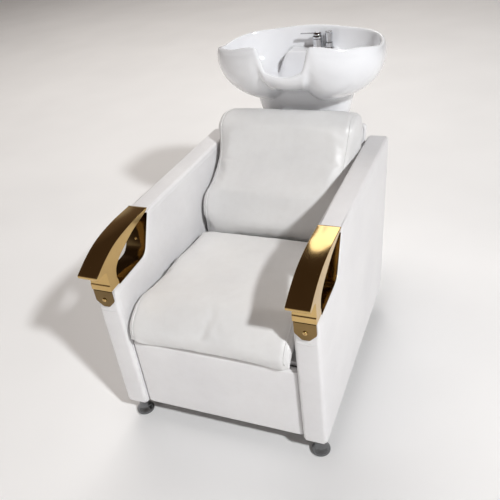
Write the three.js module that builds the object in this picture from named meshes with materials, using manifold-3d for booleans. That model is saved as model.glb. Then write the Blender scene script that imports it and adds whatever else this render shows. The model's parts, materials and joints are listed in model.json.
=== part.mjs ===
// Shampoo backwash unit: an upholstered chair with a ceramic basin that tilts on a post behind it.
// Millimetres. +X is to the right for someone facing the seat, +Y points to the basin, +Z is up, and
// z = 0 is the floor. Left and right in the names are as seen by someone facing the seat.
// While the pieces are shaped, y = 0 is the front face of the side panels. The last group moves the
// unit so that the origin is under the middle of its box.
import * as THREE from 'three';
import { mergeVertices } from 'three/addons/utils/BufferGeometryUtils.js';
import Module from 'manifold-3d';

const wasm = await Module();
wasm.setup();

// ---------------------------------------------------------------- driving dimensions
const GAP = 0.3;                 // clearance between touching pieces
const WIDTH = 660;               // over the side panels
const PANEL_THICK = 71;
const PANEL_BOTTOM = 68;         // foot height
const PANEL_FOOT_DEPTH = 767;    // depth of a side panel at its bottom
const PANEL_TOP_DEPTH = 905;
const PANEL_REAR_TOP = 626;
const POST_TOP = 520;            // top of the front post, under the armrest
const NOTCH_CORNER = { y: 185, z: 524 };
const NOTCH_REAR = { y: 248, z: 646 };
const COVER_THICK = 11;          // foam and leather over a core board
const PANEL_BEVEL = 9;
const CUSHION_GAP = 2.5;

const SEAT = { front: -14, rear: 526, nose: 450, back: 402, under: 338, underRear: 318 };
const BACK = { bottom: 330, top: 742, rearBottom: 705, rearTop: 893 };
const BOARD = 16;                // plywood
const TUBE = { side: 30, wall: 2 };

const ARM = { lipY: -47, lipZ: 599, width: 64, bend: 150, topZ: 650, bracketDrop: 53 };

const RIM = { centreY: 983, half: 291, front: 193, rear: 206, frontPower: 2.35, rearPower: 2.7 };
const RIM_HEIGHT = { neck: 859, neckSide: 877, tip: 957, lobe: 938, side: 911, corner: 919, rear: 929 };
const BOWL = { wall: 13, underZ: 723, frontUnderZ: 772, floorZ: 742, floorPower: 2.7, wallPower: 2.5,
  neckWallPower: 2, bottomRadius: 56, bulge: 9 };
const DRAIN = { y: 1035, hole: 24 };
const DECK = { z: 850, frontY: 1106, half: 112 };
const TAP = { x: 21, y: 1142, radius: 19, height: 56 };
const SHOWER = { x: 64, y: 1142 };
const BOWL_FOOT = { y: 1025, topHalf: 186, bottomHalf: 164, topDeep: 114, bottomDeep: 103,
  bottomZ: 655, wall: 12, intoBowl: 7, power: 2.4 };
const TILT = { y: 960, z: 690, pin: 8 };
const COLUMN = { half: 120, top: 600, bottom: 12, wall: 5, rearBottom: 1124, rearTop: 1168 };
const POST = { side: 44, wall: 3, top: 638 };
const HEAD = { half: 24, round: 18 };                     // the post's head, round the tilt pin
const EAR = { from: 24.6, thick: 6, round: 15 };          // the tilt bracket's ears
const PLATE = { z: 709, thick: 6, front: 932, rear: 1006, half: 58 };
const FLOOR_PLATE = { thick: 8, half: 106, front: 884, rear: 1110 };
const TIE = { half: 30, z: 86, thick: 20, front: 700 };
const HOPPER = { top: 560, bottom: 484, topRadius: 48, neck: 23, wall: 3 };
const TRAP = { top: 484, bottom: 352, radius: 36, outletZ: 420 };
const WASTE = { x: 78, radius: 14, endZ: 2 };
const VALVE = { x: 43.4, y: 1098, bottom: 154, top: 226 };
const HOSE = { radius: 5.5, spread: 7, topZ: 742, splitZ: 600, splitGap: 28 };

const innerX = WIDTH / 2 - PANEL_THICK;
const SIDES = [['left', -1], ['right', 1]];

// ---------------------------------------------------------------- materials
const finish = (color, roughness, metalness) => new THREE.MeshStandardMaterial({
  color, roughness, metalness,
});
const leather = finish(0xe9e8ea, 0.45, 0);
const board = finish(0xb58d5c, 0.8, 0);
const gold = finish(0xc39a4c, 0.12, 1);
const chrome = finish(0xc9ccd0, 0.1, 1);
const steel = finish(0x33353a, 0.5, 0.6);
const ceramic = finish(0xf3f3f5, 0.08, 0);
const shell = finish(0xe6e6e8, 0.35, 0);
const rubber = finish(0x1c1c1e, 0.8, 0);
const braid = finish(0x9a9da1, 0.35, 0.8);
const plastic = finish(0xd9d9d6, 0.5, 0);

// ---------------------------------------------------------------- geometry helpers
function closed(geometry) {
  const bare = geometry.index ? geometry : geometry.clone();
  bare.deleteAttribute('normal');
  bare.deleteAttribute('uv');
  const merged = mergeVertices(bare, 1e-4);
  const index = merged.index.array;
  const kept = [];
  for (let i = 0; i < index.length; i += 3) {
    const [a, b, c] = [index[i], index[i + 1], index[i + 2]];
    if (a !== b && b !== c && c !== a) kept.push(a, b, c);
  }
  merged.setIndex(kept);
  return merged;
}

function solid(geometry) {
  const merged = closed(geometry);
  return new wasm.Manifold(new wasm.Mesh({
    numProp: 3,
    vertProperties: new Float32Array(merged.attributes.position.array),
    triVerts: new Uint32Array(merged.index.array),
  }));
}

function geometryOf(manifold) {
  const mesh = manifold.getMesh();
  const geometry = new THREE.BufferGeometry();
  geometry.setAttribute('position', new THREE.BufferAttribute(new Float32Array(mesh.vertProperties), 3));
  geometry.setIndex(new THREE.BufferAttribute(new Uint32Array(mesh.triVerts), 1));
  return geometry;
}

const cut = (body, ...tools) => geometryOf(tools.reduce((m, t) => m.subtract(solid(t)), solid(body)));
const join = (...bodies) => geometryOf(bodies.slice(1).reduce((m, b) => m.add(solid(b)), solid(bodies[0])));

// A closed outline from [a, b, radius] corners, each corner rounded by its radius.
function outline(corners, Kind = THREE.Shape) {
  const path = new Kind();
  const count = corners.length;
  corners.forEach(([a, b, radius = 0], i) => {
    const here = new THREE.Vector2(a, b);
    const before = new THREE.Vector2(...corners[(i + count - 1) % count]);
    const after = new THREE.Vector2(...corners[(i + 1) % count]);
    const start = before.sub(here).setLength(radius).add(here);
    const end = after.sub(here).setLength(radius).add(here);
    if (i === 0) path.moveTo(start.x, start.y);
    else path.lineTo(start.x, start.y);
    if (radius > 0) path.quadraticCurveTo(a, b, end.x, end.y);
  });
  path.closePath();
  return path;
}

// The same corners moved inwards by a distance; the corners run anticlockwise.
function inset(corners, distance) {
  const count = corners.length;
  return corners.map(([a, b, radius = 0], i) => {
    const [pa, pb] = corners[(i + count - 1) % count];
    const [na, nb] = corners[(i + 1) % count];
    const before = new THREE.Vector2(a - pa, b - pb).normalize();
    const after = new THREE.Vector2(na - a, nb - b).normalize();
    const n1 = new THREE.Vector2(-before.y, before.x);
    const n2 = new THREE.Vector2(-after.y, after.x);
    const move = n1.clone().add(n2).multiplyScalar(distance / (1 + n1.dot(n2)));
    return [a + move.x, b + move.y, Math.max(radius - distance, 0)];
  });
}

const rectangle = (a0, a1, b0, b1, radius = 0) => [[a0, b0, radius], [a1, b0, radius], [a1, b1, radius],
  [a0, b1, radius]];

function extrude(shape, depth, bevel = 0, segments = 2, curveSegments = 5) {
  const geometry = new THREE.ExtrudeGeometry(shape, {
    depth: depth - 2 * bevel,
    bevelEnabled: bevel > 0,
    bevelThickness: bevel,
    bevelSize: bevel,
    bevelOffset: -bevel,
    bevelSegments: segments,
    curveSegments,
  });
  return geometry.translate(0, 0, bevel);
}

const AXES = { x: [1, 0, 0], y: [0, 1, 0], z: [0, 0, 1] };
const basis = (a, b, c) => new THREE.Matrix4().makeBasis(new THREE.Vector3(...a), new THREE.Vector3(...b),
  new THREE.Vector3(...c));

// An outline in Y and Z, extruded from x0 to x1.
const alongX = (shape, x0, x1, ...rest) => extrude(shape, x1 - x0, ...rest)
  .applyMatrix4(basis(AXES.y, AXES.z, AXES.x)).translate(x0, 0, 0);
// An outline in X and Z, extruded from y0 to y1.
const alongY = (shape, y0, y1, ...rest) => extrude(shape, y1 - y0, ...rest)
  .applyMatrix4(basis(AXES.x, AXES.z, [0, -1, 0])).translate(0, y1, 0);
// An outline in X and Y, extruded from z0 to z1.
const alongZ = (shape, z0, z1, ...rest) => extrude(shape, z1 - z0, ...rest).translate(0, 0, z0);

// A turned solid about Z; points are [radius, height].
function turned(points, segments = 24) {
  const profile = points.map(([r, h]) => new THREE.Vector2(r, h));
  return new THREE.LatheGeometry(profile, segments).rotateX(Math.PI / 2);
}

function cylinderAlongX(radius, x0, x1, y, z, segments = 28) {
  return turned([[0, 0], [radius, 0], [radius, x1 - x0], [0, x1 - x0]], segments)
    .rotateY(Math.PI / 2).translate(x0, y, z);
}

function tube(points, radius, steps = 24, sides = 10) {
  const curve = new THREE.CatmullRomCurve3(points.map((p) => new THREE.Vector3(...p)));
  const section = new THREE.Shape();
  for (let i = 0; i < sides; i += 1) {
    const turn = (2 * Math.PI * i) / sides;
    const corner = [radius * Math.cos(turn), radius * Math.sin(turn)];
    if (i === 0) section.moveTo(...corner);
    else section.lineTo(...corner);
  }
  section.closePath();
  return new THREE.ExtrudeGeometry(section, { steps, extrudePath: curve, bevelEnabled: false });
}

const unit = new THREE.Group();
unit.name = 'backwash_unit';

function add(name, geometry, material) {
  const mesh = new THREE.Mesh(closed(geometry), material);
  mesh.name = name;
  unit.add(mesh);
}

// Reflects a geometry to the other side of the unit.
function mirrored(geometry, side) {
  if (side > 0) return geometry;
  const merged = closed(geometry).scale(-1, 1, 1);
  const index = merged.index.array;
  for (let i = 0; i < index.length; i += 3) [index[i], index[i + 1]] = [index[i + 1], index[i]];
  return merged;
}

// ---------------------------------------------------------------- side panels
const rearEdgeY = (z) => PANEL_FOOT_DEPTH
  + ((z - PANEL_BOTTOM) * (PANEL_TOP_DEPTH - PANEL_FOOT_DEPTH)) / (PANEL_REAR_TOP - PANEL_BOTTOM);

const panelCorners = [
  [0, PANEL_BOTTOM, 14],
  [PANEL_FOOT_DEPTH, PANEL_BOTTOM, 14],
  [PANEL_TOP_DEPTH, PANEL_REAR_TOP, 26],
  [NOTCH_REAR.y, NOTCH_REAR.z, 14],
  [NOTCH_CORNER.y, NOTCH_CORNER.z, 20],
  [0, POST_TOP, 16],
];

function withBottomAt(corners, z) {
  return corners.map(([y, height, radius], i) => (i < 2 ? [y, z, 0] : [y, height, radius]));
}

function sideCover() {
  const pocket = withBottomAt(inset(panelCorners, COVER_THICK), PANEL_BOTTOM - 10);
  const outer = alongX(outline(panelCorners), innerX, WIDTH / 2, PANEL_BEVEL, 3, 6);
  return cut(outer, alongX(outline(pocket), innerX + COVER_THICK, WIDTH / 2 - COVER_THICK));
}

function sideCore() {
  const core = withBottomAt(inset(panelCorners, COVER_THICK + GAP), PANEL_BOTTOM);
  return alongX(outline(core), innerX + COVER_THICK + GAP, WIDTH / 2 - COVER_THICK - GAP);
}

// ---------------------------------------------------------------- seat, backrest and their boards
const seatCorners = [
  [0, SEAT.under, 24],
  [SEAT.rear, SEAT.underRear, 24],
  [SEAT.rear, SEAT.back, 26],
  [300, 437, 60],
  [40, SEAT.nose + 3, 38],
  [SEAT.front, 398, 34],
];

const backCorners = [
  [534, BACK.bottom, 26],
  [BACK.rearBottom, BACK.bottom, 24],
  [BACK.rearTop, 668, 28],
  [884, 730, 30],
  [800, BACK.top, 30],
  [742, 715, 28],
  [716, 630, 34],
  [656, 575, 40],
  [552, 528, 32],
  [528, 470, 26],
];

const cushionHalf = innerX - CUSHION_GAP;

function slantedBoard(y0, z0, y1, z1, thick, half) {
  const along = new THREE.Vector2(y1 - y0, z1 - z0).normalize();
  const away = new THREE.Vector2(along.y, -along.x).multiplyScalar(thick);
  return alongX(outline([[y0, z0], [y0 + away.x, z0 + away.y], [y1 + away.x, z1 + away.y], [y1, z1]]),
    -half, half);
}

function crossmember(y, z) {
  const shape = outline(rectangle(y, y + TUBE.side, z, z + TUBE.side, 2));
  shape.holes.push(outline(rectangle(y + TUBE.wall, y + TUBE.side - TUBE.wall, z + TUBE.wall,
    z + TUBE.side - TUBE.wall, 1), THREE.Path));
  return alongX(shape, -innerX + GAP, innerX - GAP, 0, 0, 3);
}

// ---------------------------------------------------------------- feet
const FOOT_PLACES = [['front', 36, 31], ['rear', 720, 50]];   // y, inset from the panel's outer face

function foot(x, y) {
  const top = PANEL_BOTTOM - GAP;
  return turned([[0, 0], [25, 0], [28, 3], [28, 10], [22, 20], [16, 34], [13, 48], [13, top - 5],
    [24, top - 5], [25, top - 2], [25, top], [0, top]], 22).translate(x, y, 0);
}

// ---------------------------------------------------------------- armrests
const curveThrough = (points) => new THREE.CatmullRomCurve3(points.map(([y, z]) => (
  new THREE.Vector3(y, z, 0))));
const armTop = curveThrough([[NOTCH_REAR.y + 2, 648], [ARM.bend, ARM.topZ], [62, 641], [6, 623],
  [ARM.lipY + 4, ARM.lipZ]]);
const armUnder = curveThrough([[34, 548], [42, 573], [68, 594], [109, 611], [158, 627], [226, 640],
  [NOTCH_REAR.y - 4, 644]]);
const armInner = innerX + 4;
const armMiddle = armInner + ARM.width / 2;

// The armrest is one profile: a top plate that bends down to a lip, a web below it and a neck to the post.
function armrest() {
  const shape = new THREE.Shape();
  const top = armTop.getSpacedPoints(18);
  const under = armUnder.getSpacedPoints(16);
  shape.moveTo(top[0].x, top[0].y + 2);
  top.slice(1).forEach((p) => shape.lineTo(p.x, p.y + 2));
  shape.quadraticCurveTo(ARM.lipY - 2, ARM.lipZ - 2, ARM.lipY + 3, ARM.lipZ - 9);
  shape.lineTo(-12, 592);
  shape.quadraticCurveTo(-4, 590, -4, 580);
  shape.lineTo(-4, 546);
  shape.lineTo(-7, 543);
  shape.lineTo(-7, POST_TOP + 4);
  shape.lineTo(38, POST_TOP + 5);
  shape.lineTo(38, 540);
  under.forEach((p) => shape.lineTo(p.x, p.y));
  shape.closePath();
  return alongX(shape, armInner, armInner + ARM.width, 1.5, 1);
}

function armBracket() {
  const top = POST_TOP + 3.6;
  const low = POST_TOP - ARM.bracketDrop;
  return alongY(outline([[armMiddle - 10, low, 4], [armMiddle + 10, low, 4], [armMiddle + 30, low + 20, 5],
    [armMiddle + 30, top, 2], [armMiddle - 30, top, 2], [armMiddle - 30, low + 20, 5]]), -6, -GAP, 1, 1);
}

function domeScrew(radius, height) {
  return turned([[0, 0], [radius, 0], [radius * 0.95, height * 0.45], [radius * 0.7, height * 0.85],
    [radius * 0.35, height], [0, height]], 14);
}

const linerHalf = ARM.width / 2 + 1;

// Polished plates that line the notch behind and below the armrest.
function rearLiner() {
  const lean = (NOTCH_REAR.y - NOTCH_CORNER.y) / (NOTCH_REAR.z - NOTCH_CORNER.z);
  const at = (z, off) => [NOTCH_CORNER.y + (z - NOTCH_CORNER.z) * lean - off, z];
  return alongX(outline([at(543, 0.6), at(636, 0.6), at(637, 3.6), at(543, 3.6)].reverse()),
    armMiddle - linerHalf, armMiddle + linerHalf);
}

function lowerLiner() {
  return alongX(outline([[39, POST_TOP + 1.4], [172, NOTCH_CORNER.z + 0.4], [172, NOTCH_CORNER.z + 3.4],
    [39, POST_TOP + 4.4]]), armMiddle - linerHalf, armMiddle + linerHalf);
}

// ---------------------------------------------------------------- basin
const smoothStep = (x, low, high) => {
  const t = Math.min(Math.max((x - low) / (high - low), 0), 1);
  return t * t * (3 - 2 * t);
};
const mix = (a, b, t) => a + (b - a) * t;
const degreesFromFront = (turn) => (Math.acos(Math.cos(turn)) * 180) / Math.PI;

// Distance from the rim's centre to its outer edge; turn 0 faces the sitter.
function rimRadius(turn) {
  const s = Math.abs(Math.sin(turn)) / RIM.half;
  const front = Math.cos(turn) > 0;
  const c = Math.abs(Math.cos(turn)) / (front ? RIM.front : RIM.rear);
  const power = front ? RIM.frontPower : RIM.rearPower;
  return (s ** power + c ** power) ** (-1 / power);
}

// The rim rises from the sides to a tip on each side of the neck, where it drops into the recess.
function rimHeight(turn) {
  const t = degreesFromFront(turn);
  const neck = mix(RIM_HEIGHT.neck, RIM_HEIGHT.neckSide, Math.min(t / 19.5, 1) ** 2);
  let height = mix(neck, RIM_HEIGHT.tip, smoothStep(t, 18.5, 27));
  height = mix(height, RIM_HEIGHT.lobe, smoothStep(t, 30, 60));
  height = mix(height, RIM_HEIGHT.side, smoothStep(t, 60, 95));
  height = mix(height, RIM_HEIGHT.corner, smoothStep(t, 95, 130));
  return mix(height, RIM_HEIGHT.rear, smoothStep(t, 130, 180));
}

// The bottom curves up to the neck at the front, outside the foot ring.
const underHeight = (turn, share) => mix(BOWL.underZ, mix(BOWL.frontUnderZ, BOWL.underZ,
  smoothStep(degreesFromFront(turn), 14, 48)), smoothStep(share, 0.25, 0.42));
const sectionCentre = (share) => mix(DRAIN.y, RIM.centreY, share);

// The outside face, at a share of the way from its bottom (0) to the rim (1): radius and height.
function outside(turn, share) {
  const lobe = smoothStep(degreesFromFront(turn), 14, 34);
  const power = mix(BOWL.neckWallPower, BOWL.wallPower, lobe);
  const down = Math.sin(Math.acos(share ** (power / 2))) ** (2 / power);
  const bulge = BOWL.bulge * lobe * Math.sin(Math.PI * down ** 0.7);
  return [mix(BOWL.bottomRadius, rimRadius(turn), share) + bulge * share,
    mix(rimHeight(turn) - 5, underHeight(turn, share), down)];
}

// Height of the outside face above a point of the floor plan.
function undersideAbove(x, y) {
  let [low, high] = [0, 1];
  let height = BOWL.underZ;
  for (let i = 0; i < 20; i += 1) {
    const share = (low + high) / 2;
    const forward = sectionCentre(share) - y;
    const [radius, z] = outside(Math.atan2(x, forward), share);
    if (radius < Math.hypot(x, forward)) low = share;
    else high = share;
    height = z;
  }
  return height;
}

function deckHeight(x, y) {
  const across = 1 - smoothStep(Math.abs(x), DECK.half - 26, DECK.half + 14);
  const along = smoothStep(y, DECK.frontY - 26, DECK.frontY + 6);
  return mix(BOWL.floorZ - 20, DECK.z, across * along);
}

// One radial section, from the drain up the inside, over the rim and down the outside.
function bowlSection(turn, insideSteps, outsideSteps) {
  const radius = rimRadius(turn);
  const top = rimHeight(turn);
  const rise = underHeight(turn, 1) - BOWL.underZ;
  const place = (r, z, share) => [r * Math.sin(turn), sectionCentre(share) - r * Math.cos(turn), z];
  const points = [];
  for (let i = 0; i <= insideSteps; i += 1) {
    const lift = (i / insideSteps) * (Math.PI / 2);
    const out = Math.sin(lift) ** (2 / BOWL.floorPower);
    const up = 1 - Math.cos(lift) ** (2 / BOWL.floorPower);
    const floor = BOWL.floorZ + 10 * out + rise * 0.73 * smoothStep(out, 0.15, 0.5);
    const point = place(mix(DRAIN.hole, radius - BOWL.wall, out), mix(floor, top - 5, up), out);
    if (i < insideSteps - 1) point[2] = Math.max(point[2], deckHeight(point[0], point[1]));
    points.push(point);
  }
  points.push(place(radius - BOWL.wall * 0.7, top, 1), place(radius - BOWL.wall * 0.25, top, 1));
  for (let i = 0; i <= outsideSteps; i += 1) {
    const share = Math.max(Math.cos((i / outsideSteps) * (Math.PI / 2)), 0) ** (2 / BOWL.wallPower);
    points.push(place(...outside(turn, share), share));
  }
  points.push(place(DRAIN.hole, BOWL.underZ, 0));
  return points;
}

// A closed ring through a section for each turn.
function ringOf(turns, section) {
  const sections = Array.from({ length: turns }, (_, i) => section((2 * Math.PI * i) / turns));
  const count = sections[0].length;
  const index = [];
  for (let i = 0; i < turns; i += 1) {
    const next = (i + 1) % turns;
    for (let j = 0; j < count; j += 1) {
      const above = (j + 1) % count;
      const [a, b, c, d] = [i * count + j, next * count + j, next * count + above, i * count + above];
      index.push(a, c, b, a, d, c);
    }
  }
  const geometry = new THREE.BufferGeometry();
  geometry.setAttribute('position', new THREE.Float32BufferAttribute(sections.flat(2), 3));
  geometry.setIndex(index);
  return geometry;
}

// The ceramic foot ring: an oval wall that tapers down from the bowl's underside.
function footSection(turn) {
  const { power, wall, bottomZ, intoBowl } = BOWL_FOOT;
  const point = (half, deep, heightAt) => {
    const r = ((Math.abs(Math.sin(turn)) / half) ** power + (Math.abs(Math.cos(turn)) / deep) ** power)
      ** (-1 / power);
    const [x, y] = [r * Math.sin(turn), BOWL_FOOT.y - r * Math.cos(turn)];
    return [x, y, heightAt(x, y)];
  };
  const top = (x, y) => undersideAbove(x, y) + intoBowl;
  const bottom = () => bottomZ;
  const { topHalf, topDeep, bottomHalf, bottomDeep } = BOWL_FOOT;
  return [point(bottomHalf - wall, bottomDeep - wall, bottom), point(topHalf - wall, topDeep - wall, top),
    point(topHalf, topDeep, top), point(bottomHalf, bottomDeep, bottom)];
}

const hole = (radius, x, y, z0, z1) => turned([[0, z0], [radius, z0], [radius, z1], [0, z1]])
  .translate(x, y, 0);

function bowl() {
  const below = BOWL_FOOT.bottomZ - 15;
  const above = DECK.z + 50;
  const shell = ringOf(64, (turn) => bowlSection(turn, 9, 9));
  return cut(join(shell, ringOf(40, footSection)), hole(13, TAP.x, TAP.y, below, above),
    hole(11, SHOWER.x, SHOWER.y, below, above), hole(DRAIN.hole + 1, 0, DRAIN.y, below, BOWL.floorZ + 18));
}

// ---------------------------------------------------------------- build: chair
SIDES.forEach(([name, side]) => {
  add(`side_cover_${name}`, mirrored(sideCover(), side), leather);
  add(`side_core_${name}`, mirrored(sideCore(), side), board);
  add(`armrest_${name}`, mirrored(armrest(), side), gold);
  add(`armrest_bracket_${name}`, mirrored(armBracket(), side), gold);
  add(`armrest_rear_liner_${name}`, mirrored(rearLiner(), side), gold);
  add(`armrest_lower_liner_${name}`, mirrored(lowerLiner(), side), gold);
  const screw = domeScrew(7, 4.5).rotateX(Math.PI / 2).translate(armMiddle, -6 - GAP, POST_TOP - 28);
  add(`bracket_screw_${name}`, mirrored(screw, side), gold);
  FOOT_PLACES.forEach(([end, y, inset]) => {
    add(`foot_${end}_${name}`, foot(side * (WIDTH / 2 - inset), y), chrome);
  });
});

add('seat_cushion', alongX(outline(seatCorners), -cushionHalf, cushionHalf, 14, 3, 6), leather);
add('seat_board', slantedBoard(40, SEAT.under - 2.5, SEAT.rear - 4, SEAT.underRear - 1, BOARD, cushionHalf),
  board);
add('backrest_cushion', alongX(outline(backCorners), -cushionHalf, cushionHalf, 14, 3, 6), leather);
add('backrest_board', slantedBoard(BACK.rearTop - 2, 664, BACK.rearBottom + 3, BACK.bottom + 2, -BOARD,
  cushionHalf), board);
add('front_panel', alongX(outline([[12, PANEL_BOTTOM + 4, 6], [36, PANEL_BOTTOM + 4, 3],
  [36, SEAT.under - 20, 3], [12, SEAT.under - 4, 12]]), -cushionHalf, cushionHalf, 2, 2, 5), leather);
add('rear_panel', alongX(outline([[rearEdgeY(126) - 30, 126], [rearEdgeY(126) - 12, 126],
  [rearEdgeY(556) - 12, 556], [rearEdgeY(556) - 30, 556]]), -cushionHalf, cushionHalf), leather);
[['seat_crossmember_front', 42, 286], ['seat_crossmember_rear', 470, 270],
  ['base_crossmember_front', 42, 84], ['base_crossmember_rear', TIE.front, 84],
].forEach(([name, y, z]) => add(name, crossmember(y, z), steel));

// ---------------------------------------------------------------- build: basin post and its cover
const postHalf = POST.side / 2;
function floorPlate() {
  const { half, front, rear, thick } = FLOOR_PLATE;
  const shape = outline(rectangle(-half, half, front, rear, 12));
  const wasteHole = new THREE.Path();
  wasteHole.absarc(WASTE.x, DRAIN.y, WASTE.radius + 3, 0, 2 * Math.PI, false);
  shape.holes.push(wasteHole);
  return alongZ(shape, 0, thick, 0, 0, 10);
}
add('floor_plate', floorPlate(), steel);

function basinPost() {
  const inner = postHalf - POST.wall;
  const shape = outline(rectangle(-postHalf, postHalf, TILT.y - postHalf, TILT.y + postHalf, 4));
  shape.holes.push(outline(rectangle(-inner, inner, TILT.y - inner, TILT.y + inner, 2), THREE.Path));
  return alongZ(shape, FLOOR_PLATE.thick + GAP, POST.top, 0, 0, 3);
}
add('basin_post', basinPost(), steel);

// The post's head carries the tilt pin; its round top lets the basin's plate swing over it.
function postHead() {
  const shape = new THREE.Shape();
  shape.moveTo(TILT.y - postHalf + 2, POST.top + GAP);
  shape.lineTo(TILT.y + postHalf - 2, POST.top + GAP);
  shape.lineTo(TILT.y + HEAD.round, TILT.z);
  shape.absarc(TILT.y, TILT.z, HEAD.round, 0, Math.PI, false);
  shape.closePath();
  const bore = cylinderAlongX(TILT.pin + GAP, -HEAD.half - 5, HEAD.half + 5, TILT.y, TILT.z);
  return cut(alongX(shape, -HEAD.half, HEAD.half, 0, 0, 10), bore);
}
add('post_head', postHead(), steel);

function tiltPin() {
  const end = EAR.from + EAR.thick + 1;
  return turned([[0, -end - 6], [13, -end - 6], [13, -end], [TILT.pin, -end], [TILT.pin, end], [13, end],
    [13, end + 6], [0, end + 6]]).rotateY(Math.PI / 2).translate(0, TILT.y, TILT.z);
}
add('tilt_pin', tiltPin(), chrome);

add('tie_bar', alongZ(outline(rectangle(-TIE.half, TIE.half, TIE.front + TUBE.side + GAP,
  TILT.y - postHalf - GAP, 3)), TIE.z, TIE.z + TIE.thick), steel);

const columnOutline = (off) => [[rearEdgeY(COLUMN.bottom) - 11, COLUMN.bottom],
  [COLUMN.rearBottom - off, COLUMN.bottom], [COLUMN.rearTop - off, COLUMN.top],
  [rearEdgeY(COLUMN.top) - 11, COLUMN.top]];

function columnCover() {
  const corners = columnOutline(0);
  const outer = alongX(outline(corners.map(([y, z], i) => [y, z, i === 1 || i === 2 ? 30 : 24])),
    -COLUMN.half, COLUMN.half, 10, 3, 5);
  const [low, lowRear, highRear, high] = columnOutline(COLUMN.wall);
  const cavity = [[low[0] - 60, low[1] - 20], [lowRear[0] - 2, lowRear[1] - 20],
    [highRear[0] + 2, highRear[1] + 20], [high[0] - 60, high[1] + 20]];
  const half = COLUMN.half - COLUMN.wall;
  return cut(outer, alongX(outline(cavity), -half, half));
}
add('column_cover', columnCover(), shell);

function columnCollar() {
  const front = rearEdgeY(COLUMN.top) + 6;
  const half = COLUMN.half - COLUMN.wall - GAP;
  const shape = outline(rectangle(-half, half, front, COLUMN.rearTop - 10, 20));
  shape.holes.push(outline(rectangle(-84, 84, front + 22, COLUMN.rearTop - 17, 16), THREE.Path));
  return alongZ(shape, COLUMN.top - 26, COLUMN.top - 20, 0, 0, 4);
}
add('column_collar', columnCollar(), rubber);

add('waste_hopper', turned([[HOPPER.neck - HOPPER.wall, HOPPER.bottom], [HOPPER.neck, HOPPER.bottom],
  [HOPPER.topRadius, HOPPER.top - 14], [HOPPER.topRadius, HOPPER.top],
  [HOPPER.topRadius - HOPPER.wall, HOPPER.top], [HOPPER.topRadius - HOPPER.wall, HOPPER.top - 13],
  [HOPPER.neck - HOPPER.wall, HOPPER.bottom + 2],
  [HOPPER.neck - HOPPER.wall, HOPPER.bottom]]).translate(0, DRAIN.y, 0), plastic);

add('bottle_trap', turned([[0, TRAP.bottom], [TRAP.radius - 8, TRAP.bottom], [TRAP.radius, TRAP.bottom + 10],
  [TRAP.radius, TRAP.top - 40], [28, TRAP.top - 24], [28, TRAP.top - GAP], [20, TRAP.top - GAP],
  [20, TRAP.top - 60], [0, TRAP.top - 60]]).translate(0, DRAIN.y, 0), plastic);

// Out of the trap's side, round a bend and straight down to the floor.
add('waste_outlet', tube([[TRAP.radius + 1.5, TRAP.outletZ], [TRAP.radius + 14, TRAP.outletZ],
  [WASTE.x - 4, TRAP.outletZ - 24], [WASTE.x, 340], [WASTE.x, 200], [WASTE.x, 60], [WASTE.x, WASTE.endZ],
].map(([x, z]) => [x, DRAIN.y, z]), WASTE.radius, 20, 12), plastic);

const HOSES = [['hot', -1], ['cold', 1]];
HOSES.forEach(([name, side]) => {
  const x = side * VALVE.x;
  const top = TAP.x + side * HOSE.spread;
  const { bottom, top: valveTop } = VALVE;
  add(`supply_valve_${name}`, turned([[0, bottom], [11, bottom], [11, valveTop - 46], [15, valveTop - 40],
    [15, valveTop - 16], [9, valveTop - 12], [9, valveTop], [0, valveTop]])
    .translate(x, VALVE.y, 0), chrome);
  add(`hose_lower_${name}`, tube([[x, VALVE.y, valveTop + GAP], [x, VALVE.y, valveTop + 44],
    [x + side * 2, VALVE.y + 6, 360], [mix(x, top, 0.7), TAP.y - 4, 500], [top, TAP.y, 550],
    [top, TAP.y, HOSE.splitZ - HOSE.splitGap / 2]], HOSE.radius, 22, 8), braid);
  const heights = [HOSE.splitZ + HOSE.splitGap / 2, 650, 700, HOSE.topZ];
  add(`hose_upper_${name}`, tube(heights.map((z) => [top, TAP.y, z]), HOSE.radius, 6, 8), braid);
});

// ---------------------------------------------------------------- build: basin
add('basin', bowl(), ceramic);

function tiltBracket() {
  const plate = alongZ(outline(rectangle(-PLATE.half, PLATE.half, PLATE.front, PLATE.rear, 8)), PLATE.z,
    PLATE.z + PLATE.thick);
  const shape = new THREE.Shape();
  shape.moveTo(TILT.y + 26, PLATE.z + 1);
  shape.lineTo(TILT.y - 26, PLATE.z + 1);
  shape.lineTo(TILT.y - EAR.round, TILT.z);
  shape.absarc(TILT.y, TILT.z, EAR.round, Math.PI, 2 * Math.PI, false);
  shape.closePath();
  const ears = [-EAR.from - EAR.thick, EAR.from].map((x) => alongX(shape, x, x + EAR.thick, 0, 0, 10));
  const bore = cylinderAlongX(TILT.pin + GAP, -80, 80, TILT.y, TILT.z);
  return geometryOf(solid(join(plate, ...ears)).subtract(solid(bore)));
}
add('tilt_bracket', tiltBracket(), steel);

function basinPad() {
  return alongZ(outline(rectangle(-PLATE.half, PLATE.half, PLATE.front, PLATE.rear, 8)),
    PLATE.z + PLATE.thick + GAP, BOWL.underZ - GAP);
}
add('basin_pad', basinPad(), rubber);

add('drain_flange', turned([[17, 700], [DRAIN.hole - 1, 700], [DRAIN.hole - 1, BOWL.floorZ + 2],
  [34, BOWL.floorZ + 5], [34, BOWL.floorZ + 6.5], [20, BOWL.floorZ + 4.5], [17, BOWL.floorZ + 2], [17, 700]])
  .translate(0, DRAIN.y, 0), chrome);

add('drain_strainer', turned([[0, BOWL.floorZ - 2], [16, BOWL.floorZ - 2], [16.5, BOWL.floorZ + 3],
  [19.5, BOWL.floorZ + 5.2], [30, BOWL.floorZ + 7], [30, BOWL.floorZ + 8.5], [16, BOWL.floorZ + 9],
  [5, BOWL.floorZ + 10], [4, BOWL.floorZ + 17], [0, BOWL.floorZ + 17]]).translate(0, DRAIN.y, 0), chrome);

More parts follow.
